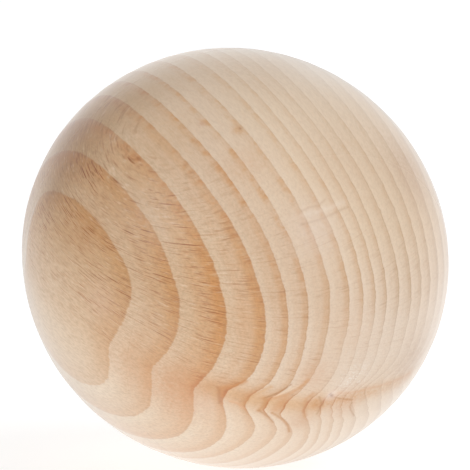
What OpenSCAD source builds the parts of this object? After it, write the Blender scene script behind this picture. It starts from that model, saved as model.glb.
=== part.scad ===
// A solid wooden ball, turned from one block of beech.
//
// The ball was round when it left the lathe. Wood shrinks across its grain as it
// dries and keeps its length along it, so the ball has become a little thinner
// along one axis: it is an ellipsoid, and every diameter square to that axis is
// still the turned one. The origin is the centre of the ball, +Z is up, the
// flattened axis leans from +Z towards +X, and +Y is one of the full diameters.

/* [Ball] */
// Diameter turned on the lathe, still found along the grain, in mm
ball_d = 50; // [20:0.5:100]
// Thickness along the flattened axis, in mm, once the wood has dried
flat_d = 48.4; // [18:0.1:100]
// Lean of the flattened axis from upright, towards +X, in degrees
flat_lean = 31; // [0:1:45]

/* [Resolution] */
// Number of facets round the ball in previews and mesh exports
facets = 96; // [24:8:120]

/* [Hidden] */
wood_color = [0.86, 0.73, 0.58];

// One full ellipsoid: a ball of the turned diameter, squeezed along its own Z
// and then leaned over.
module ball() {
    color(wood_color)
        rotate([0, flat_lean, 0])
            scale([1, 1, flat_d / ball_d])
                sphere(d = ball_d, $fn = facets);
}

ball();
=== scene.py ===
# %% [markdown]
# # A wooden ball, turned from one piece of beech
#
# The real thing is about as plain as an object can be: a 50 mm ball of raw wood, sanded fine and left
# without oil or varnish. All of its character lies in the wood. The ball was cut from a block that grew
# to one side of the heart of the tree, so the yearly rings run through it as a stack of curved sheets,
# and a fold in the trunk bends every sheet into two bulges that meet in a sharp valley.
#
# That settles how the ball is made here. Its form is one mesh, built in code to the size of the CAD
# model. Its wood is a solid figure: every point of space has its own colour, and the ball only shows
# the points at its skin, so the figure runs right round the ball and no seam or stretched patch shows.

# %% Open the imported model
import math

import bpy
import numpy as np
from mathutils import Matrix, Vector


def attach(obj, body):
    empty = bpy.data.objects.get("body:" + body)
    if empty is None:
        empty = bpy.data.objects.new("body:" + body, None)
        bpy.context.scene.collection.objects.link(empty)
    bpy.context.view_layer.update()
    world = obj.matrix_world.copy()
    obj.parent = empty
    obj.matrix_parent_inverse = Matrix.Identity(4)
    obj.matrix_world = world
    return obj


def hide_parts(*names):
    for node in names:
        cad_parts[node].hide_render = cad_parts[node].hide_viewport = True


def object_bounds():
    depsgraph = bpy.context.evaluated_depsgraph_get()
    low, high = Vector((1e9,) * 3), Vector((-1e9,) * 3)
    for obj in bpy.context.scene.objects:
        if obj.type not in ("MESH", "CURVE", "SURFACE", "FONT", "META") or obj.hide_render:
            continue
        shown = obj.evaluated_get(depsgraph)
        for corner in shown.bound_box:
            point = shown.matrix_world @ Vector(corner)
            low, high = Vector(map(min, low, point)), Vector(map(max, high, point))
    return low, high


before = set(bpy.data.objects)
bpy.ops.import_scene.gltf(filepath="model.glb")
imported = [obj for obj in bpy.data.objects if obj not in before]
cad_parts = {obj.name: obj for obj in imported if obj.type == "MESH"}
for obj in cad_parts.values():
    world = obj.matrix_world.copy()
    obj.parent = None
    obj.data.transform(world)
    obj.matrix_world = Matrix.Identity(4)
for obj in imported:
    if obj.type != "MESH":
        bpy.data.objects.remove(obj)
cad_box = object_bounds()
MM = 1000  # millimetres in a metre


def in_mm(box):
    return [[round(v * MM, 2) for v in corner] for corner in box]


print("CAD box in mm:", in_mm(cad_box))

# %% [markdown]
# ## One set of formulas for the mesh and for the colours
#
# The rings are needed twice. The mesh needs them, because sanding wears soft spring wood a little
# lower than hard summer wood, and the colours need them too. If the same formulas work on plain
# numbers and on the sockets of shader nodes, mesh and colours agree. So one small class wraps a
# socket, and arithmetic on it adds Math nodes; on NumPy arrays the same signs work out numbers. It
# also keeps the material short to read: a formula is one line instead of a tangle of wires.

# %% A wrapper that turns arithmetic into nodes
class Wire:
    """One output of a shader node. Arithmetic on it adds Math nodes to the open tree."""

    tree = None

    def __init__(self, socket):
        self.socket = socket

    @classmethod
    def node(cls, kind, settings=None, inputs=None, output=0):
        """Adds a node: its settings first, then a value or a link for each socket named."""
        made = cls.tree.nodes.new(kind)
        for name, value in (settings or {}).items():
            if name == "stops":
                fill_ramp(made.color_ramp, value)
            else:
                setattr(made, name, value)
        for name, value in (inputs or {}).items():
            if isinstance(value, Wire):
                cls.tree.links.new(value.socket, made.inputs[name])
            else:
                made.inputs[name].default_value = value
        return None if output is None else cls(made.outputs[output])

    @classmethod
    def math(cls, operation, *values):
        return cls.node("ShaderNodeMath", {"operation": operation}, dict(enumerate(values)))

    def also(self, output):
        """Another output of the node behind this one."""
        return Wire(self.socket.node.outputs[output])

    def __add__(self, other):
        return Wire.math("ADD", self, other)

    def __radd__(self, other):
        return Wire.math("ADD", other, self)

    def __sub__(self, other):
        return Wire.math("SUBTRACT", self, other)

    def __rsub__(self, other):
        return Wire.math("SUBTRACT", other, self)

    def __mul__(self, other):
        return Wire.math("MULTIPLY", self, other)

    def __rmul__(self, other):
        return Wire.math("MULTIPLY", other, self)

    def __truediv__(self, other):
        return Wire.math("DIVIDE", self, other)

    def __pow__(self, other):
        return Wire.math("POWER", self, other)

    def __rpow__(self, other):
        return Wire.math("POWER", other, self)

    def __neg__(self):
        return Wire.math("MULTIPLY", self, -1.0)


def fill_ramp(ramp, stops):
    """Gives a colour ramp these (position, colour) stops."""
    while len(ramp.elements) < len(stops):
        ramp.elements.new(0.5)
    for element, (position, _) in zip(ramp.elements, stops):
        element.position = position
    for element, (_, colour) in zip(ramp.elements, stops):
        element.color = colour


print("the wrapper reads +, -, *, /, ** and a leading minus as Math nodes")

# %% [markdown]
# ## The few words that the formulas need
#
# Besides plain arithmetic, the wood's formulas use the larger of two numbers, a soft step, a curve
# that dies away, and a profile: a line drawn through a few given points. A Math node, a Map
# Range and a colour ramp do the same work in a material that NumPy does for the mesh.

# %% Words that work on numbers and on sockets alike
def is_wire(*values):
    return any(isinstance(v, Wire) for v in values)


def larger(a, b):
    return Wire.math("MAXIMUM", a, b) if is_wire(a, b) else np.maximum(a, b)


def length_of(a, b):
    return (a * a + b * b) ** 0.5


def die_away(v):
    """1 where v is 0, and soon nothing as v grows."""
    return math.e ** (-v)


def soft_step(start, end, v):
    """0 before start, 1 after end and a soft S between them. start may be the larger."""
    if is_wire(v):
        return Wire.node(
            "ShaderNodeMapRange",
            {"interpolation_type": "SMOOTHSTEP"},
            {"Value": v, "From Min": start, "From Max": end},
        )
    part = np.clip((v - start) / (end - start), 0, 1)
    return part * part * (3 - 2 * part)


def profile(points, v):
    """The height at v of a line through given (place, height) points, level beyond both ends."""
    places, heights = zip(*points)
    if not is_wire(v):
        return np.interp(v, places, heights)
    first, span = places[0], places[-1] - places[0]
    lowest, rise = min(heights), max(heights) - min(heights)
    greys = [(h - lowest) / rise for h in heights]
    stops = [((x - first) / span, (g, g, g, 1)) for x, g in zip(places, greys)]
    ramp = Wire.node("ShaderNodeValToRGB", {"stops": stops}, {"Fac": (v - first) / span})
    return ramp * rise + lowest


print("soft_step at a quarter:", float(soft_step(0, 1, 0.25)))

# %% [markdown]
# ## How the ball lies in the tree
#
# A tree's own directions are along the trunk, outwards from its heart, and round it. The ball was
# turned from a block in which all three lie askew, and its centre is 37 mm from the heart. A point's
# place in the tree is its distance along each of the three, in millimetres: a dot product.

# %% The tree's directions in the ball
ALONG_TRUNK = Vector((0.524, -0.761, -0.383))
OUTWARDS = Vector((0.787, 0.605, -0.124))
ROUND_TRUNK = Vector((0.326, -0.236, 0.916))
HEART_DISTANCE = 37.0

print(
    "angles between the three:",
    [
        round(math.degrees(a.angle(b)), 1)
        for a, b in (
            (ALONG_TRUNK, OUTWARDS),
            (OUTWARDS, ROUND_TRUNK),
            (ROUND_TRUNK, ALONG_TRUNK),
        )
    ],
)

# %% [markdown]
# ## The yearly rings
#
# Wide rings lie near the heart and narrow ones far out, as in most beech. They are a list of the
# radii at which a year ended, and counting them gives each point its year, with a fraction that runs
# from spring wood, 0, to the dark line of late summer, nearly 1.

# %% Radii at which each year ended, in mm
YEAR_ENDS = [
    5.0, 8.0, 11.0, 14.15, 17.5, 21.5, 25.4, 28.1, 30.6, 33.4, 35.9, 37.75, 39.5, 41.2,
    43.3, 45.5, 47.5, 49.5, 51.65, 53.8, 55.8, 57.7, 59.5, 61.3, 63.1, 65.0,
]


def year_at(radius):
    """How many years lie inside this radius, with the part of the year as a fraction."""
    return profile([(r, float(n)) for n, r in enumerate(YEAR_ENDS)], radius)


print("the ball spans", round(float(year_at(62.0) - year_at(12.0)), 1), "years")

# %% [markdown]
# ## The fold in the trunk
#
# Plain rings would be circles round the heart. This trunk had a fold, as beech often has below a
# branch: the bark dipped inwards there, each year's wood followed the dip, and a second bulge grew
# beyond it. So each ring is pushed in or out by an amount that depends on how far round the trunk a
# point lies, and the shape of that push changes slowly from ring to ring: hardly a dent near the
# heart, a deep V further out. Each of its features is one short profile over the rings.

# %% The shape of the fold, ring by ring
SHOULDER = [
    (14, 0.3), (25, 0.4), (28, 0.0), (33, -0.9), (38, -0.8), (41, -0.8), (44, -0.9), (50, -0.8),
]
FAR_SIDE = [
    (14, 0.4), (17.4, 0.9), (21.5, 0.6), (25.4, 0.2), (28, 0.1), (34, 0.0), (41, -0.1),
    (44, -0.8), (52, -0.9),
]
DIP = [
    (14, 0.6), (18, 0.15), (22, 0.0), (25, -1.1), (28, -1.5), (30.5, -1.8),
    (33.5, -2.6), (36, -2.4), (38, -2.35), (40, -2.8), (43.5, -4.6), (46, -4.6), (48, -4.0),
]
BULGE = [
    (14, 4.2), (18, 3.6), (22, 3.35), (25, 2.75), (28, 2.1), (30.5, 2.1), (33.5, 1.55), (36, 2.0),
    (40, 2.1),
]
DIP_SIDE = [(14, -5.0), (33, -4.8), (36, -4.3), (38.5, -3.6), (41, -3.0), (44, -2.1), (50, -1.4)]
BULGE_SIDE = [
    (14, -5.0), (18, -5.6), (22, -6.0), (31, -6.3), (33.5, -6.6), (36, -5.4), (38, -4.6),
    (41, -3.8), (44, -2.7), (50, -1.9),
]
BULGE_REACH = [
    (14, 6.5), (18, 5.4), (22, 5.1), (25.3, 4.0), (28, 2.5), (30.5, 2.1), (33.5, 2.1), (36, 3.6),
    (38, 5.2), (46, 5.6),
]
DIP_REACH = [(14, 2.0), (28, 1.9), (30.5, 1.7), (33.5, 2.9), (36, 2.4), (40, 2.0)]
FIRST_GUESS = (-0.3, 0.0, -2.0, 2.4, -4.8, -5.5, 3.5, 2.0)
SHOULDER_ENDS = (11, 2)
FAR_SIDE_ENDS = (0.3, 0.65)  # the distance round the trunk, over the distance from the heart
DIP_SHARPNESS = 1.6
BULGE_SHARPNESS = 1.5
BEND_BACK_FROM = -14
BEND_BACK_SPAN = 40


def push(side, far_share, shoulder, far, dip, bulge, dip_side, bulge_side, bulge_reach, dip_reach):
    """How far out, in mm, the rings are pushed at this distance round the trunk."""
    wide = shoulder * soft_step(*SHOULDER_ENDS, side) + far * far_share
    above_dip = larger(side - dip_side, 0) / dip_reach
    in_bulge = larger(bulge_side - side, 0) / bulge_reach
    narrow = (dip - wide) * die_away(above_dip ** DIP_SHARPNESS)
    second = (bulge - dip) * (1 - die_away(in_bulge ** BULGE_SHARPNESS))
    return wide + narrow + second - larger(BEND_BACK_FROM - side, 0) ** 2 / BEND_BACK_SPAN


def ring_radius(out, side):
    """The radius that the ring through this point has where the trunk is round.

    The push depends on the ring and the ring on the push, so a guess is bettered twice.
    """
    from_heart = length_of(out, larger(side, 0))
    far_share = soft_step(*FAR_SIDE_ENDS, side / from_heart)
    radius = from_heart - push(side, far_share, *FIRST_GUESS)
    for _ in range(2):
        shape = [
            profile(p, radius)
            for p in (
                SHOULDER, FAR_SIDE, DIP, BULGE, DIP_SIDE, BULGE_SIDE, BULGE_REACH, DIP_REACH
            )
        ]
        radius = from_heart - push(side, far_share, *shape)
    return radius


for side in (6.0, -5.0, -14.0):
    print(f"30 mm out and {side} mm round: ring radius {float(ring_radius(30.0, side)):.2f} mm")

# %% [markdown]
# ## The ball's form
#
# A ball turned true from damp wood doesn't stay true. Wood shrinks more across the grain than along
# it, so this one has become a hair flatter one way: 48.4 mm against 50. The CAD model says the same
# and the mesh follows it.
#
# A UV sphere would crowd its faces at two poles, and an ico sphere is hard to divide as finely as one
# likes. Here a cube's surface is divided into small squares and blown up to a ball. With equal angles
# between its lines, the squares stay almost equal and nearly square everywhere.

# %% Blow a cube up to the ball
BALL_RADIUS = 0.0250
FLAT_SHARE = 48.4 / 50  # the ball's size along its flat axis, against its turned size
FLAT_LEAN = math.radians(31)
SQUARES = 124


def cube_lattice(n):
    """The whole-number points of a cube's surface, n squares along each edge, and its quads."""
    grid = np.arange(n + 1)
    a, b = (g.ravel() for g in np.meshgrid(grid, grid, indexing="ij"))
    corner = np.arange((n + 1) ** 2).reshape(n + 1, n + 1)
    square = np.stack([corner[:-1, :-1], corner[1:, :-1], corner[1:, 1:], corner[:-1, 1:]], -1)
    points, quads = [], []
    for axis in range(3):
        for level in (0, n):
            quads.append(square.reshape(-1, 4) + len(points) * len(a))
            points.append(np.insert(np.stack([a, b], 1), axis, level, axis=1))
    points, quads = np.concatenate(points), np.concatenate(quads)
    points, place = np.unique(points, axis=0, return_inverse=True)
    return points, place.reshape(-1)[quads]


lattice, quads = cube_lattice(SQUARES)
direction = np.tan((2 * lattice / SQUARES - 1) * math.pi / 4)
direction /= np.linalg.norm(direction, axis=1, keepdims=True)
lean = np.array(
    [
        [math.cos(FLAT_LEAN), 0, math.sin(FLAT_LEAN)],
        [0, 1, 0],
        [-math.sin(FLAT_LEAN), 0, math.cos(FLAT_LEAN)],
    ]
)
skin = (direction * (1, 1, FLAT_SHARE) * BALL_RADIUS) @ lean.T
outward = direction / (1, 1, FLAT_SHARE) @ lean.T
outward /= np.linalg.norm(outward, axis=1, keepdims=True)
print(len(skin), "points and", len(quads), "squares of about", end=" ")
print(round(2 * math.pi * BALL_RADIUS * MM / 4 / SQUARES, 2), "mm")

# %% [markdown]
# ## What sanding leaves
#
# Fine as the sanding is, the skin isn't a perfect ellipsoid. Soft spring wood wears a few hundredths
# of a millimetre lower than the hard line of late summer, the valley of the fold has a slight crease,
# and there is a tiny pit at a sliver of knot and a smaller one at a speck of bark. All of it goes
# inwards from the true size, as a tool can only take wood away.

# %% Wear the skin down
LEAST_WEAR = 0.012
SPRING_WEAR = 0.030
CREASE_DEPTH = 0.05
CREASE_WIDTH = 0.6
PITS = [
    # where on the ball, width and depth, all in mm
    (Vector((11.1, -18.7, -12.3)), 0.9, 0.22),
    (Vector((0.65, -16.0, 18.75)), 0.5, 0.08),
]


def in_tree(points):
    """Points in metres as mm outwards from the heart, round the trunk and along it."""
    out, side, along = (
        points @ np.array(d) * MM for d in (OUTWARDS, ROUND_TRUNK, ALONG_TRUNK)
    )
    return out + HEART_DISTANCE, side, along


out, side, along = in_tree(skin)
radius = ring_radius(out, side)
part = year_at(radius) % 1
hard = soft_step(0.35, 0.9, part) * soft_step(1.0, 0.94, part)
wear = LEAST_WEAR + SPRING_WEAR * (1 - hard) * profile([(12, 1.0), (60, 0.4)], radius)
crease = die_away(((side - profile(DIP_SIDE, radius)) / CREASE_WIDTH) ** 2)
wear += CREASE_DEPTH * crease * profile([(22, 0), (28, 1), (50, 0.6)], radius)
for centre, width, depth in PITS:
    on_skin = np.array(centre.normalized()) * BALL_RADIUS * MM
    away = np.linalg.norm(skin * MM - on_skin, axis=1)
    wear += depth * die_away((away / (width / 2)) ** 2)
skin = skin - outward * wear[:, None] / MM
print(f"wood worn away: {wear.min():.3f} to {wear.max():.3f} mm")

# %% [markdown]
# ## The mesh
#
# The cube's six sides were all laid out in the same way, so the squares of some face inwards. They
# are turned round, as a face that looks inwards is shaded wrongly. Then the mesh takes the place of
# the CAD model's ball: it rides on the same body, and its one finish is raw beech.

# %% Make the mesh
first, second, third = (skin[quads[:, i]] for i in range(3))
turned_in = (np.cross(second - first, third - first) * first).sum(1) < 0
quads[turned_in] = quads[turned_in][:, ::-1]

ball_mesh = bpy.data.meshes.new("ball_skin")
ball_mesh.from_pydata(skin.tolist(), [], quads.tolist())
ball_mesh.polygons.foreach_set("use_smooth", [True] * len(ball_mesh.polygons))
ball_mesh.validate()
ball = bpy.data.objects.new("turned_ball", ball_mesh)
bpy.context.scene.collection.objects.link(ball)
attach(ball, "root")
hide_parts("ball")
print("turned", len(quads) * 2, "triangles")

# %% [markdown]
# ## A material with the tree's directions
#
# The material starts from the point's own place in the ball, in metres, and the same three dot
# products as in the mesh. From there ring_radius and year_at are the very functions that wore the
# skin down, now laying nodes instead of adding numbers.
#
# Object coordinates are used, not a UV map. A UV map would have to be cut open somewhere, and no
# flat picture fits a ball without stretching; a solid figure needs neither.

# %% Open the material and find the place in the tree
beech = bpy.data.materials.new("raw_beech")
beech.use_nodes = True
Wire.tree = beech.node_tree
Wire.tree.nodes.clear()


def vector_math(operation, *values, output="Vector"):
    return Wire.node(
        "ShaderNodeVectorMath", {"operation": operation}, dict(enumerate(values)), output
    )


def joined(x, y, z):
    return Wire.node("ShaderNodeCombineXYZ", {}, {"X": x, "Y": y, "Z": z})


place = Wire.node("ShaderNodeTexCoord", output="Object")
out_mm = vector_math("DOT_PRODUCT", place, OUTWARDS * MM, output="Value") + HEART_DISTANCE
side_mm = vector_math("DOT_PRODUCT", place, ROUND_TRUNK * MM, output="Value")
along_mm = vector_math("DOT_PRODUCT", place, ALONG_TRUNK * MM, output="Value")
in_tree_mm = joined(out_mm, side_mm, along_mm)
in_grain = joined(out_mm, side_mm, along_mm * 0.25)
print("nodes that find the place:", len(Wire.tree.nodes))

# %% [markdown]
# ## Noise that follows the tree
#
# Nothing in a tree is even, but its unevenness has a direction. Seen along the trunk, a feature is
# drawn out by the fibres; seen round it, rays part the wood into thin sheets that stand like the
# leaves of an open book. So the noise is fed with coordinates that are squeezed the same way. The
# comb below is one: it changes quickly with the angle round the heart and slowly the other two ways.
# Where the skin cuts its sheets end on they show as ticks across the rings, as rays do.
#
# Below the fold the rays lean over, as they always grow square to the bark. The angle is bent there,
# by up to LEAN_MM.

# %% Noise in lumps and in sheets
def noise(vector, scale, detail=2.0, roughness=0.5):
    """Noise about 0, from about -1 to 1, with scale lumps to each unit of the vector."""
    raw = Wire.node(
        "ShaderNodeTexNoise",
        {"noise_dimensions": "3D"},
        {"Vector": vector, "Scale": scale, "Detail": detail, "Roughness": roughness},
        "Fac",
    )
    return (raw - 0.5) * 2.0


def held(v):
    """v kept between 0 and 1."""
    return Wire.node("ShaderNodeClamp", {}, {"Value": v})


LEAN_MM = 2.7
from_heart_mm = length_of(out_mm, side_mm)
leant_side = side_mm - LEAN_MM * soft_step(5, -4, side_mm) * held((out_mm - 20) / 9)
angle = Wire.math("ARCTAN2", leant_side, out_mm)


def comb(lines, along_step, out_step, detail, seed):
    """Noise drawn out into sheets like the rays', lines of them to each radian."""
    sheets = joined(angle * lines + seed, along_mm / along_step, from_heart_mm / out_step)
    return noise(sheets, 1.0, detail, 0.6)


TUG_LINES = 62
ray_sheets = comb(TUG_LINES, along_step=1.6, out_step=2.6, detail=2.0, seed=5.0)
print("sheets in the ball's middle stand", round(HEART_DISTANCE / TUG_LINES, 2), "mm apart")

# %% [markdown]
# ## Rings that tremble
#
# With the formulas alone each ring would be a smooth line, and it would look drawn. Three small
# shifts of the radius undo that: a slow swell, a fine tremble, and a tug at every ray, as rays catch
# a ring and pull it along. Beyond the fold the bark was puckered, so the rings there zigzag, and the
# narrow rings far out waver a little more than the wide ones. The mesh goes without these shifts: its
# relief is so shallow that a few tenths of a millimetre to one side don't show in it.

# %% The year that a point grew in
SWELL_MM = 0.16
TREMBLE_MM = 0.07
TUG_MM = 0.14
PUCKER_MM = 0.45
WAVER_MM = 0.16

shift = noise(in_grain, 0.3, 1.0) * SWELL_MM + noise(in_grain, 1.3, 1.0) * TREMBLE_MM
shift = shift + ray_sheets * TUG_MM
puckered = soft_step(33, 36, out_mm) * soft_step(-2.5, -4.5, side_mm) * soft_step(-13, -8, side_mm)
shift = shift + puckered * noise(joined(side_mm, 0.0, 0.0), 0.75, 2.0) * PUCKER_MM
shift = shift + soft_step(34, 44, out_mm) * noise(in_tree_mm, 0.6, 2.0) * WAVER_MM
radius_mm = ring_radius(out_mm + shift, side_mm)
year = year_at(radius_mm)
year_part = Wire.math("FRACT", year)
print("nodes that know the year:", len(Wire.tree.nodes))

# %% [markdown]
# ## Spring wood and late wood
#
# Each year starts pale, turns tan and ends in a dark line with a crisp outer edge. Near the heart the
# wood is warmer and the dark part broad; further out it pales to cream and the line thins. Colour
# ramps over the ring's radius hold those colours, and the part of the year blends them.
#
# The colours are written as a screen shows them, 0 to 255, as that is how anyone would name them. A
# shader reckons with light itself, so linear() turns them into amounts of light.

# %% Words for colours
def linear(red, green, blue):
    """A colour written as 0 to 255, as a screen shows it, in the linear values of a shader."""
    shares = (v / 255 for v in (red, green, blue))
    return (*(s / 12.92 if s <= 0.04045 else ((s + 0.055) / 1.055) ** 2.4 for s in shares), 1.0)


def colour_over(points, v):
    """A colour that runs through given (place, colour) points."""
    first, span = points[0][0], points[-1][0] - points[0][0]
    stops = [((x - first) / span, linear(*c)) for x, c in points]
    return Wire.node("ShaderNodeValToRGB", {"stops": stops}, {"Fac": (v - first) / span})


def blended(share, first, second, way="MIX"):
    """Two colours mixed: all first where share is 0, all second where it is 1."""
    return Wire.node(
        "ShaderNodeMix",
        {"data_type": "RGBA", "blend_type": way, "clamp_factor": True},
        {0: share, 6: first, 7: second},
        2,
    )


def darkened(colour, share, tone):
    """A colour as it is where share is 0, and multiplied by a tone where share is 1."""
    return blended(share, colour, linear(*tone), "MULTIPLY")


print("a middle grey as light:", round(linear(128, 128, 128)[0], 3))

# %% [markdown]
# The palettes run outwards from the heart. The tan of late wood is strongest in the wide rings near
# the heart. Beyond the fold, on the lower side, the wood is mixed toward cream: partly because it is
# creamier there, as the skin lies nearly along a ring and the pores are cut open lengthwise, and partly
# as painted light that brightens the lower side. Where the years are narrow, their tan fades.

# %% Colours over the rings
SPRING = [
    (12, (213, 181, 146)), (16, (210, 176, 141)), (20, (217, 185, 150)),
    (24, (224, 198, 171)), (30, (230, 208, 185)), (36, (232, 211, 189)),
    (44, (230, 208, 185)), (62, (222, 196, 170)),
]
LATE = [
    (12, (204, 160, 112)), (16, (200, 149, 95)), (20, (207, 149, 91)),
    (24, (208, 155, 102)), (30, (217, 181, 147)), (36, (213, 177, 142)),
    (40, (213, 181, 150)), (44, (208, 179, 149)), (62, (202, 174, 146)),
]
LINE = [
    (12, (186, 136, 84)), (24, (188, 134, 84)), (30, (192, 150, 112)),
    (40, (186, 148, 112)), (62, (184, 150, 118)),
]
# a pale cream: partly the wood's own colour, partly painted light on the lower side
CREAM_AND_PAINTED_LIGHT = linear(246, 236, 218)
STRAW = linear(253, 251, 245)

tan_share = profile([(18, 0.5), (26, 0.35)], radius_mm)
broad_part = soft_step(0.1, 0.45, year_part)
dark_part = soft_step(0.5, 0.84, year_part)
year_over = soft_step(1.0, 0.96, year_part)
late_share = (tan_share * broad_part + (1 - tan_share) * dark_part) * year_over
line_share = soft_step(0.87, 0.96, year_part) * soft_step(1.0, 0.985, year_part)
near_heart = soft_step(27, 19, radius_mm)
narrow_years = soft_step(34, 42, radius_mm)
outer_years = soft_step(31, 35, radius_mm)
at_front = profile([(-10, 0.1), (-3, 0.75), (3, 0.7), (7, 0.35), (10, 0.0), (20, 0.0)], side_mm)
at_top = (1 - 0.42 * soft_step(6, 17, side_mm)) * (1 - 0.45 * soft_step(18, 24, side_mm))
late_share = late_share * (1 - outer_years * at_front) * at_top
line_share = line_share * (1 - 0.55 * outer_years * at_front) * at_top
line_share = line_share * (0.34 - 0.2 * soft_step(1, -7, side_mm)) * (1 + 0.5 * narrow_years)

# mixed in on the lower side: creamier wood, and painted light
cream_and_painted_light_share = soft_step(4, -14, side_mm) * profile([(22, 0.5), (28, 0.38), (36, 0.26)], radius_mm)
spring_colour = blended(cream_and_painted_light_share, colour_over(SPRING, radius_mm), CREAM_AND_PAINTED_LIGHT)
late_colour = blended(cream_and_painted_light_share * 0.75, colour_over(LATE, radius_mm), CREAM_AND_PAINTED_LIGHT)
wood = blended(late_share, spring_colour, late_colour)
wood = blended(line_share, wood, colour_over(LINE, radius_mm))
straw_share = soft_step(8, 17, side_mm) * profile([(28, 0.0), (36, 1.0)], radius_mm)
wood = blended(straw_share, wood, STRAW, "MULTIPLY")
print("nodes with the rings' colours:", len(Wire.tree.nodes))

# %% [markdown]
# ## Broad drifts and painted shade
#
# Over the rings the wood's colour drifts. On the upper left, near the heart, the colour is darkened
# olive as painted shade, for the side where the room is dim. The middle years have a breath more tan on
# the upper side, and the outer ones are paler in front. None has an edge.

# %% Let the colour drift
UPPER_LEFT_SHADE_TONE = (216, 197, 158)
TAN_STAIN = (249, 245, 240)
PALE_WOOD = (248, 236, 224)

# painted shade: the upper left, near the heart, is darkened in the colour itself
upper_left_shade = soft_step(-1, -9, along_mm) * soft_step(0, 8, side_mm)
upper_left_shade = upper_left_shade * profile([(14, 1.0), (26, 0.8), (32, 0.4), (38, 0.0)], radius_mm)
tanned = profile([(4, 0.0), (8, 1.0), (14, 1.0), (19, 0.0)], side_mm)
tanned = tanned * profile([(24, 0.0), (26, 1.0), (31, 1.0), (37, 0.0)], radius_mm)
paled = profile([(-1, 0.0), (2, 1.0), (6, 1.0), (9, 0.0)], side_mm)
paled = paled * profile([(34, 0.0), (37, 1.0), (52, 1.0), (56, 0.0)], radius_mm)

# the painted shade of the upper left
wood = darkened(wood, upper_left_shade, UPPER_LEFT_SHADE_TONE)
wood = darkened(wood, tanned, TAN_STAIN)
wood = blended(paled * 0.17, wood, linear(*PALE_WOOD))
print("nodes with the stains:", len(Wire.tree.nodes))

# %% [markdown]
# ## Rays
#
# Beech is known by its rays: thin ribbons that run outwards from the heart, a tenth of a millimetre
# thick and a millimetre or two tall. Where the skin cuts them end on they are short dark strokes,
# and where it cuts them lengthwise, long faint lines. A Voronoi texture scatters the ribbons: it is
# fed with the angle round the heart, the height along the trunk and a much squeezed radius. Its
# Position output says where the nearest ribbon lies, and an ellipse round that gives the stroke.
# Noise alone couldn't do this: it gives clouds, and a ray has two ends and a steady thickness.

# %% Scatter the rays
def rays(apart, height, run, thickness, tall, seed):
    """Strokes of ray ribbons, 1 on a ribbon, and each one's chance number.

    The sizes are in mm, apart is measured in the ball's middle, and a seed moves the pattern.
    """
    across = HEART_DISTANCE / apart
    wander = noise(in_tree_mm, 0.9, 2.0) * (0.05 / apart)
    here = angle * across + seed + wander
    nearest = Wire.node(
        "ShaderNodeTexVoronoi",
        {"voronoi_dimensions": "3D"},
        {"Vector": joined(here, along_mm / height, from_heart_mm / run), "Scale": 1.0},
        "Position",
    )
    found = Wire.node("ShaderNodeSeparateXYZ", {}, {"Vector": nearest})
    chance = Wire.node("ShaderNodeSeparateColor", {}, {"Color": nearest.also("Color")}, "Red")
    off_side = (here - found) * (apart / HEART_DISTANCE) * from_heart_mm
    off_along = along_mm - found.also("Y") * height
    off_out = from_heart_mm - found.also("Z") * run
    reach = (off_side / thickness) ** 2 + (off_along / (tall * (0.5 + chance))) ** 2
    reach = reach + (off_out / (run * 0.45)) ** 2
    return held(1 - reach) * (0.35 + 0.65 * chance), chance


bold_rays, bold_chance = rays(
    apart=1.1, height=2.8, run=5.2, thickness=0.055, tall=1.15, seed=0.0
)
coarse_rays, _ = rays(apart=0.5, height=1.8, run=4.2, thickness=0.045, tall=0.8, seed=20.0)
crossing_rays, _ = rays(apart=0.8, height=3.0, run=8.0, thickness=0.05, tall=1.4, seed=40.0)
print("nodes with the rays:", len(Wire.tree.nodes))

# %% [markdown]
# ## Where the rays show
#
# Rays catch the eye only where the skin cuts across them, and there most of all in the dense late
# wood and near the heart. Close to the edge of a year they smudge it orange. Between the bold ones lie
# many that are too thin to see singly; they give streaks, which the comb draws, some dark, some pale.

# %% Streak the wood
SMUDGE_ORANGE = (238, 194, 124)
LONG_STREAK = (218, 170, 120)
THIN_STREAK = (198, 163, 125)
PALE_STREAK = (244, 222, 196)

cut_across = soft_step(21, 12, side_mm) * soft_step(-8, -2, side_mm)
ray_show = cut_across * profile([(22, 1.0), (26, 0.6), (30, 0.45), (44, 0.3)], radius_mm)
grouped = soft_step(-0.35, 0.25, noise(in_grain, 0.55, 1.0))
in_late_wood = soft_step(0.2, 0.55, year_part) * year_over * grouped

smudge_sheets = comb(36, along_step=1.8, out_step=1.8, detail=2.5, seed=31.0)
smudges = soft_step(-0.15, 0.35, smudge_sheets)
near_edge = soft_step(0.6, 0.92, year_part) * soft_step(1.0, 0.99, year_part)
smudge_show = profile([(-6, 0.0), (3, 0.2), (9, 0.4), (14, 0.8), (20, 0.9), (24, 0.6)], side_mm)
smudge_years = profile([(16, 0.4), (27, 1.0), (30, 0.8), (34, 0.5), (40, 0.2)], radius_mm)
smudge_share = smudges * near_edge * smudge_show * smudge_years * 0.8
wood = darkened(wood, smudge_share, SMUDGE_ORANGE)

long_streaks = soft_step(0.08, 0.6, ray_sheets)
long_share = 0.10 + 0.42 * in_late_wood
wood = darkened(wood, long_streaks * ray_show * long_share, LONG_STREAK)
thin_sheets = comb(130, along_step=1.3, out_step=2.2, detail=1.0, seed=11.0)
thin_streaks = soft_step(0.05, 0.45, thin_sheets)
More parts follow.
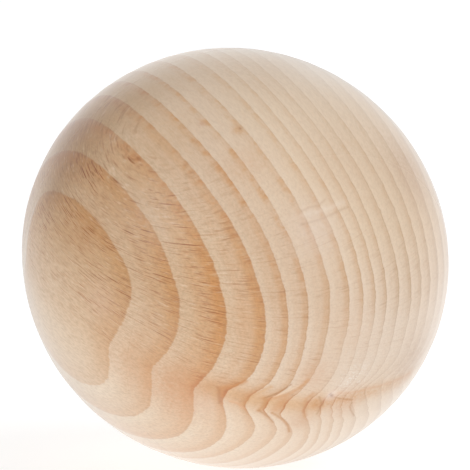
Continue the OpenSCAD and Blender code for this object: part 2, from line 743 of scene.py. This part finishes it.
# the thin streaks show more in the painted shade of the upper left
thin_share = profile([(22, 0.26), (28, 0.12)], radius_mm) + 0.48 * in_late_wood + 0.4 * upper_left_shade
thin_share = thin_share * (1 - 0.35 * near_heart)
wood = darkened(wood, thin_streaks * ray_show * thin_share, THIN_STREAK)
pale_sheets = comb(110, along_step=1.3, out_step=2.2, detail=1.0, seed=23.0)
pale_streaks = soft_step(0.1, 0.6, -pale_sheets)
wood = blended(pale_streaks * ray_show * 0.3, wood, linear(*PALE_STREAK))
print("nodes with the streaks:", len(Wire.tree.nodes))

# %% [markdown]
# Over the streaks lie the strokes themselves. The bold ones are few and the coarse ones many, and both
# are darkest in late wood. The crossing ones are rays cut nearly lengthwise, which run on from one
# ring into the next.

# %% Draw the strokes
BOLD_STROKE = (190, 138, 90)
COARSE_STROKE = (200, 152, 106)
CROSSING_LINE = (216, 182, 146)

in_streak = 0.3 + 0.7 * in_late_wood + 0.25 * near_heart
bold_show = soft_step(17, 10, side_mm) * soft_step(-5, 0, side_mm)
bold_show = bold_show * soft_step(0.35, 0.7, bold_chance)
bold_share = in_streak * (0.8 + 0.5 * near_heart)
coarse_share = in_streak * (0.7 + 0.5 * near_heart)
crossing_show = profile([(16, 0.25), (26, 0.35), (34, 0.45), (48, 0.25)], radius_mm)
wood = darkened(wood, bold_rays * ray_show * bold_show * bold_share, BOLD_STROKE)
wood = darkened(wood, coarse_rays * ray_show * coarse_share, COARSE_STROKE)
wood = darkened(wood, crossing_rays * cut_across * crossing_show, CROSSING_LINE)
print("nodes with the strokes:", len(Wire.tree.nodes))

# %% [markdown]
# ## Fibres
#
# Close to, the wood is never one flat colour. Fibres a few tenths of a millimetre across, drawn out
# along the trunk, are a little browner than their neighbours, and a finer mottle lies over them.

# %% Lay the fibres and the mottle
FIBRE_BROWN = (138, 100, 56)
MOTTLE_TAN = (216, 160, 112)

fibre = noise(joined(out_mm * 4, side_mm * 4, along_mm * 1.1), 1.0, 3.0, 0.7)
fibre_show = profile([(18, 0.40), (26, 0.26), (36, 0.16), (50, 0.2)], radius_mm)
wood = blended(held(0.25 + 1.3 * fibre) * fibre_show, wood, linear(*FIBRE_BROWN))
mottle = noise(in_grain, 2.2, 3.0, 0.6)
wood = blended(held(mottle) * 0.2, wood, linear(*MOTTLE_TAN))
print("nodes with the fibres:", len(Wire.tree.nodes))

# %% [markdown]
# ## The marks of the fold
#
# Where the two bulges met, the late wood of several years was squeezed into thin dark veins, and
# beyond them the whole seam is stained orange. Such a mark is a sheet that runs along the trunk, so
# it is drawn in the trunk's cross-section as a line through a few places, each so far out from the
# heart and so far round it, in millimetres. The distance to the nearest stretch gives the vein.
#
# This could be a texture painted by hand as well. Lines in the tree's own section are better here:
# they stay sharp at any size, they lie right on the folds of the rings, and they come out again at
# the ball's back where the same sheets are cut a second time. A pale streak high on the ball, between
# two dark lines, is drawn in the same way.

# %% Measure the distance to a line
in_section = joined(out_mm, side_mm, 0.0)


def distance_to(places):
    """How far, in mm, this point of the cross-section is from a line through these places."""
    nearest = None
    for start, end in zip(places, places[1:]):
        way = Vector((end[0] - start[0], end[1] - start[1], 0))
        offset = vector_math("SUBTRACT", in_section, Vector((*start, 0)))
        share = held(vector_math("DOT_PRODUCT", offset, way / way.length_squared, output="Value"))
        foot = Wire.node(
            "ShaderNodeVectorMath", {"operation": "SCALE"}, {"Vector": way, "Scale": share}
        )
        gap = vector_math("LENGTH", vector_math("SUBTRACT", offset, foot), output="Value")
        nearest = gap if nearest is None else Wire.math("MINIMUM", nearest, gap)
    return nearest


INNER_SEAM = [(22.6, -5.2), (26.8, -5.2), (30.5, -4.9), (34.5, -4.6)]
OUTER_SEAM = [(34.5, -4.4), (38.5, -3.6), (42.0, -3.0), (49.0, -2.4)]
print("the seam runs", round(math.dist(INNER_SEAM[0], OUTER_SEAM[-1]), 1), "mm across the rings")

# %% [markdown]
# Each vein below is one such line, with its width, its strength and its colour. Under the veins lie
# the seam's stain and, where the rings bend, a darker last line to each year.

# %% Draw the veins
SEAM_TONE = (244, 222, 196)
PINCHED_TONE = (228, 178, 126)
VEINS = [
    # half-width in mm, strength, colour, and the places (out, round) that it runs through
    (0.45, 0.30, (206, 168, 122), [(22.8, -5.1), (23.6, -6.5)]),
    (0.32, 0.60, (200, 138, 80), [(25.2, -3.0), (24.4, -4.0), (23.5, -4.9), (23.9, -5.9)]),
    (0.17, 0.50, (172, 112, 58), [(23.1, -4.9), (23.4, -5.2), (23.7, -6.0), (24.2, -7.0)]),
    (0.16, 0.50, (222, 168, 126), [(25.0, -6.3), (25.9, -6.3), (26.8, -6.8)]),
    (0.28, 0.50, (210, 162, 112), [(28.0, -2.9), (27.2, -4.0), (26.5, -5.1), (26.4, -6.2)]),
    (0.13, 0.55, (166, 112, 58), [(30.1, -2.1), (29.3, -3.3), (28.7, -4.0), (28.1, -4.6)]),
    (0.28, 0.60, (200, 144, 90), [(28.0, -4.7), (28.5, -5.1), (28.5, -5.8), (28.3, -6.6)]),
    (0.17, 0.50, (186, 134, 90), [(28.3, -6.6), (29.2, -7.0), (30.0, -7.4), (30.7, -8.0)]),
    (0.10, 0.50, (242, 216, 184), [(31.2, -2.0), (30.3, -2.9), (29.6, -3.6), (28.9, -4.2)]),
    (0.28, 0.55, (208, 150, 98), [(31.9, -1.2), (31.2, -2.5), (30.2, -3.6), (28.7, -4.7)]),
    (0.55, 0.45, (208, 148, 96), [(30.3, -4.1), (30.2, -5.1), (30.0, -6.0)]),
    (0.17, 0.60, (190, 132, 76), [(29.9, -6.6), (31.8, -7.5), (32.8, -8.3), (33.6, -9.3)]),
    (0.30, 0.50, (206, 152, 104), [(33.3, -3.0), (32.8, -3.8), (33.0, -4.5), (34.0, -6.4)]),
    (0.15, 0.50, (186, 138, 92), [(34.3, -3.4), (35.4, -4.6), (35.3, -5.2), (35.4, -6.0)]),
    (0.13, 0.60, (180, 126, 72), [(36.3, -3.35), (37.4, -3.6), (38.4, -3.75), (39.4, -3.85)]),
    (0.12, 0.50, (178, 130, 86), [(39.6, -4.3), (39.6, -4.9), (40.1, -5.5), (41.5, -6.7)]),
    (0.22, 0.32, (216, 160, 110), [(36.6, -2.7), (38.6, -2.8), (41.4, -2.3), (49.0, -2.0)]),
    (0.20, 0.24, (244, 230, 214), [(28.4, 16.2), (30.5, 16.9), (32.7, 17.6), (34.4, 18.1)]),
    (0.11, 0.34, (190, 150, 112), [(28.7, 15.6), (31.0, 16.4), (33.4, 17.3), (34.8, 17.7)]),
    (0.10, 0.30, (194, 154, 116), [(28.6, 16.6), (29.8, 17.2), (31.0, 17.5), (32.0, 18.1)]),
]

speckle = noise(in_tree_mm, 2.2, 2.0, 0.6)
inner_stain = die_away((distance_to(INNER_SEAM) / 1.6) ** 2)
outer_stain = die_away((distance_to(OUTER_SEAM) / 1.1) ** 2) * (0.75 + 0.9 * speckle)
wood = darkened(wood, inner_stain, SEAM_TONE)
wood = darkened(wood, outer_stain, SEAM_TONE)
in_fold = die_away(((side_mm - profile(DIP_SIDE, radius_mm) + 0.6) / 2.0) ** 2)
in_fold = in_fold * profile([(20, 0.0), (22, 1.0), (36, 1.0), (42, 0.5), (47, 0.0)], radius_mm)
pinched = soft_step(0.80, 0.95, year_part) * soft_step(1.0, 0.985, year_part)
wood = darkened(wood, pinched * in_fold * 0.8, PINCHED_TONE)
for width, strength, colour, places in VEINS:
    vein = die_away((distance_to(places) / width) ** 2) * (1 + 0.5 * speckle)
    wood = blended(vein * strength, wood, linear(*colour))
print("nodes with veins:", len(Wire.tree.nodes))

# %% [markdown]
# ## Patches, specks and painted light
#
# No tree grows evenly. Here and there a soft patch is a little paler or darker than the rings alone
# would make it, a sliver of knot shows where the fold's wood closed over a bud, and two specks of bark
# are left. Some patches are light and shade painted into the colour: dark ones along the upper-left
# rim, along the top, at the upper right and at the lower-right rim are painted shade, and a pale one
# on top is a painted highlight. Each is a soft blob round a place on the ball, and a speckle breaks up
# its edge. Pale flecks lie round the knot.

# %% Lay the patches
PATCHES_AND_PAINTED_LIGHT = [
    # where on the ball, in mm, how far it reaches, how strong it is, and its colour
    ((-9.4, -21.0, 9.6), 4.6, 0.20, (232, 214, 198)),
    ((-9.7, -22.7, -3.1), 4.0, 0.12, (238, 220, 200)),
    ((-14.6, -13.0, -14.6), 4.0, 0.12, (242, 228, 212)),
    ((8.9, -22.0, 7.3), 3.5, 0.20, (236, 220, 204)),
    # painted highlight on top of the ball
    ((8.9, -2.8, 22.4), 4.8, 0.24, (240, 232, 222)),
    ((-6.5, -21.2, -11.5), 4.4, 0.38, (200, 132, 80)),
    ((-6.8, -21.9, -9.5), 2.0, 0.16, (190, 132, 84)),
    ((7.5, -18.0, -15.4), 1.5, 0.44, (206, 158, 118)),
    ((12.9, -15.8, -14.4), 2.0, 0.12, (196, 136, 76)),
    # painted shade at the lower-right rim
    ((20.5, -10.3, -9.9), 3.6, 0.34, (168, 128, 92)),
    # painted shade along the upper-left rim
    ((-18.2, -4.8, 16.4), 3.4, 0.56, (150, 98, 38)),
    ((-14.0, -12.0, 16.7), 1.8, 0.16, (226, 204, 176)),
    # painted shade along the upper-left rim
    ((-14.6, -5.8, 19.3), 2.6, 0.14, (160, 110, 56)),
    ((-6.8, -15.9, 17.8), 4.2, 0.09, (186, 134, 78)),
    # painted shade at the upper right, where the right lamp falls
    ((20.4, -7.0, 12.2), 4.6, 0.30, (160, 108, 62)),
    # painted shade along the top, this one and the next
    ((-5.2, -7.0, 23.0), 5.5, 0.10, (170, 128, 88)),
    ((2.5, -6.0, 23.5), 5.5, 0.14, (170, 128, 88)),
    ((1.0, -19.7, 15.2), 2.6, 0.22, (206, 148, 92)),
    ((-19.6, -14.0, 6.0), 3.4, 0.24, (178, 128, 66)),
    # painted shade at the left rim
    ((-21.3, -9.1, 9.3), 2.6, 0.32, (140, 94, 44)),
    ((-17.2, -16.8, 6.8), 2.6, 0.28, (176, 112, 50)),
    ((-15.3, -19.6, -1.0), 2.4, 0.16, (222, 186, 168)),
    ((-12.8, -19.8, -8.2), 4.0, 0.16, (200, 132, 80)),
    ((-2.8, -21.4, -12.2), 2.4, 0.10, (240, 228, 218)),
    ((-8.2, -14.6, 18.6), 4.5, 0.16, (222, 180, 124)),
    ((1.0, -24.6, -1.6), 2.4, 0.20, (206, 150, 96)),
    ((9.3, -21.4, 8.4), 3.2, 0.15, (226, 206, 202)),
    ((12.9, -21.0, -4.2), 3.4, 0.14, (214, 164, 116)),
    ((4.5, -17.5, -17.3), 4.0, 0.10, (200, 150, 104)),
    ((8.9, -21.2, -9.2), 2.0, 0.24, (212, 148, 98)),
    ((12.6, -16.8, -13.2), 2.2, 0.24, (212, 148, 98)),
    # painted shade at the upper right, where the right lamp falls
    ((12.1, -15.4, 14.8), 5.0, 0.12, (176, 130, 90)),
    ((12.7, -18.7, -10.7), 1.5, 0.30, (240, 226, 212)),
    ((15.0, -17.6, -9.5), 1.5, 0.22, (238, 222, 206)),
    ((11.0, -18.6, -12.1), 0.70, 0.75, (250, 228, 214)),
    ((10.9, -18.7, -11.9), 0.26, 0.70, (160, 120, 98)),
    ((11.1, -18.4, -12.2), 0.24, 0.60, (172, 132, 108)),
    ((0.3, -16.3, 18.6), 0.70, 0.50, (204, 150, 96)),
    ((-3.8, -15.3, 19.1), 0.40, 0.40, (200, 146, 116)),
    ((0.6, -16.1, 18.75), 0.20, 0.50, (150, 84, 24)),
]

FLECKED_PLACE = (13.7, -18.3, -10.2)
FLECKED_REACH = 2.0
FLECK_WHITE = (250, 244, 236)


def blob_round(centre, reach):
    """1 at a place on the ball, given in mm, and dying away over its reach."""
    away = vector_math("DISTANCE", place, Vector(centre) / MM, output="Value") * MM
    return die_away((away / reach) ** 2)


# some of these patches are painted shade or a painted highlight, as marked in the list
for centre, reach, strength, colour in PATCHES_AND_PAINTED_LIGHT:
    share = blob_round(centre, reach) * strength * (1 + 0.8 * speckle)
    wood = blended(share, wood, linear(*colour))

flecks = soft_step(0.0, 0.5, noise(in_tree_mm, 4.0, 1.0))
flecked = blob_round(FLECKED_PLACE, FLECKED_REACH)
wood = blended(flecks * flecked * 0.6, wood, linear(*FLECK_WHITE))
print(len(PATCHES_AND_PAINTED_LIGHT), "patches laid; nodes with them:", len(Wire.tree.nodes))

# %% [markdown]
# ## Raw, sanded wood
#
# Nothing was put on the wood, so there is no coat. Its gloss is soft, and only near the ball's edge,
# where light skims the surface, does it pick up a pale sheen from the room: that is the dust-fine nap
# that sanding leaves, which the sheen stands for. At the two ends where the trunk's fibres are cut
# across, the wood is a bundle of open tubes, so it is a little rougher there.

# %% Close the material
SANDED_ROUGHNESS = 0.22
ROUGHER_END_GRAIN = 0.1

end_grain = soft_step(8, 15, Wire.math("ABSOLUTE", along_mm))
surface = Wire.node(
    "ShaderNodeBsdfPrincipled",
    {},
    {
        "Base Color": wood,
        "Roughness": SANDED_ROUGHNESS + ROUGHER_END_GRAIN * end_grain,
        "IOR": 1.5,
        "Sheen Weight": 0.6,
        "Sheen Roughness": 0.35,
    },
)
Wire.node("ShaderNodeOutputMaterial", {}, {"Surface": surface}, None)
ball_mesh.materials.append(beech)
print("nodes in the wood:", len(Wire.tree.nodes))

# %% [markdown]
# ## A white table
#
# The ball lies on white paper that runs far beyond it. Lit paper throws much of its light back up, and
# that is what fills the ball's underside, so the sheet glows softly besides taking the lamps' light.
# With the glow, a middle grey is enough for its own colour. A camera needs it just a little brighter
# still to read as clean white, and so does anything that mirrors it; only those rays get the last bit,
# and the ball isn't lit by it. The shadow stays.

# %% The floor
def seen_share():
    """1 for a ray from the camera, or one mirrored or passed on by a surface; otherwise 0."""
    camera_ray = Wire.node("ShaderNodeLightPath", output="Is Camera Ray")
    mirrored = larger(camera_ray, camera_ray.also("Is Glossy Ray"))
    return larger(mirrored, camera_ray.also("Is Transmission Ray"))


PAPER_REACH = 4.0
PAPER_GREY = (0.5, 0.5, 0.5, 1)
PAPER_GLOW = 0.67
SEEN_GLOW = 0.05

level = cad_box[0].z
corners = [(-1, -1), (1, -1), (1, 1), (-1, 1)]
floor_mesh = bpy.data.meshes.new("floor")
floor_mesh.from_pydata(
    [(x * PAPER_REACH, y * PAPER_REACH, level) for x, y in corners], [], [(0, 1, 2, 3)]
)
floor = bpy.data.objects.new("floor", floor_mesh)
bpy.context.scene.collection.objects.link(floor)

paper = bpy.data.materials.new("white_paper")
paper.use_nodes = True
Wire.tree = paper.node_tree
Wire.tree.nodes.clear()
sheet = Wire.node(
    "ShaderNodeBsdfPrincipled",
    {},
    {
        "Base Color": PAPER_GREY,
        "Roughness": 1.0,
        "Specular IOR Level": 0.0,
        "Emission Color": PAPER_GLOW + SEEN_GLOW * seen_share(),
        "Emission Strength": 1.0,
    },
)
Wire.node("ShaderNodeOutputMaterial", {}, {"Surface": sheet}, None)
floor_mesh.materials.append(paper)
print("the paper lies", round(-level * MM, 2), "mm below the ball's centre")

# %% [markdown]
# ## A white room
#
# The room is the second soft light. It isn't even: one upper side is dim, as a wall stands there, and
# a bright backdrop stands behind the ball. At the edge of a ball a surface is seen at a slant and
# mirrors what lies behind it, so the backdrop is what draws the pale rim. Seen directly or in a
# mirror, the room is plain white, a strength of 1.

# %% The room
ROOM_LIGHT = 0.43
DIM_SIDE = Vector((-0.70, 0.15, 0.70))
DIMNESS = 0.85
BACKDROP = Vector((0.17, 0.94, 0.29))
BACKDROP_GLOW = 1.15

room = bpy.data.worlds.new("white_room")
bpy.context.scene.world = room
room.use_nodes = True
Wire.tree = room.node_tree
Wire.tree.nodes.clear()
way = Wire.node("ShaderNodeTexCoord", output="Generated")
dim = soft_step(0.3, 1.0, vector_math("DOT_PRODUCT", way, DIM_SIDE, output="Value"))
behind = soft_step(0.75, 0.98, vector_math("DOT_PRODUCT", way, BACKDROP, output="Value"))
room_light = ROOM_LIGHT * (1 - DIMNESS * dim) + BACKDROP_GLOW * behind
room_glow = Wire.node(
    "ShaderNodeBackground",
    {},
    {"Color": room_light + seen_share() * (1 - room_light), "Strength": 1.0},
)
Wire.node("ShaderNodeOutputWorld", {}, {"Surface": room_glow}, None)
print("nodes in the room:", len(Wire.tree.nodes))

# %% [markdown]
# ## Two soft lamps
#
# A large lamp high on the right models the ball: it makes the right side the brighter one and lets
# the left turn away into shade. A small weak one low on the left keeps that shade open. Each is a
# square of light, big beside the ball, so no shadow has a hard edge. They are hidden from gloss, as a
# lamp mirrored in the wood would be a bright square there, and raw wood shows none.

# %% The lamps
def lamp(name, azimuth, height, distance, size, power):
    """A square soft lamp that looks at the ball. Azimuth 0 is the camera's side, 90 its right.

    The angles are in degrees, the distance and the size in metres and the power in watts.
    """
    a, h = math.radians(azimuth), math.radians(height)
    light = bpy.data.lights.new(name, "AREA")
    light.size = size
    light.energy = power
    obj = bpy.data.objects.new(name, light)
    obj.location = distance * Vector(
        (math.sin(a) * math.cos(h), -math.cos(a) * math.cos(h), math.sin(h))
    )
    obj.rotation_mode = "QUATERNION"
    obj.rotation_quaternion = (-obj.location).to_track_quat("-Z", "Y")
    obj.visible_glossy = False
    bpy.context.scene.collection.objects.link(obj)
    return obj


right_lamp = lamp("right_lamp", azimuth=85, height=52, distance=0.7, size=0.6, power=2.4)
left_lamp = lamp("left_lamp", azimuth=-40, height=12, distance=0.8, size=0.3, power=2.1)
print("lamps in m:", [[round(v, 2) for v in obj.location] for obj in (right_lamp, left_lamp)])

# %% [markdown]
# ## The camera
#
# A small thing is best looked at from far off with a long lens: from two metres away nearly half of
# the ball can be seen, and its outline stays true. The camera looks slightly down, 12 degrees. The
# lens follows from how wide a view is wanted at the ball, so it needn't be guessed.

# %% Set up the camera
CAMERA_HEIGHT = math.radians(12)
CAMERA_DISTANCE = 2.0
SENSOR_WIDTH = 36  # in mm, as the lens is
VIEW_WIDTH = 0.05455
LOOK_UP = 0.00267  # the view's middle lies this far above the ball's, in m
LOOK_LEFT = 0.00003

back = Vector((0, -math.cos(CAMERA_HEIGHT), math.sin(CAMERA_HEIGHT)))
up = Vector((0, math.sin(CAMERA_HEIGHT), math.cos(CAMERA_HEIGHT)))
camera_data = bpy.data.cameras.new("camera")
camera_data.sensor_width = SENSOR_WIDTH
camera_data.lens = SENSOR_WIDTH * CAMERA_DISTANCE / VIEW_WIDTH
camera_data.clip_start = 0.01
camera_data.clip_end = 20
camera = bpy.data.objects.new("camera", camera_data)
camera.location = back * CAMERA_DISTANCE + up * LOOK_UP - Vector((LOOK_LEFT, 0, 0))
camera.rotation_mode = "QUATERNION"
camera.rotation_quaternion = (-back).to_track_quat("-Z", "Y")
bpy.context.scene.collection.objects.link(camera)
bpy.context.scene.camera = camera
bpy.context.scene.view_settings.view_transform = "Standard"
print("lens:", round(camera_data.lens), "mm")
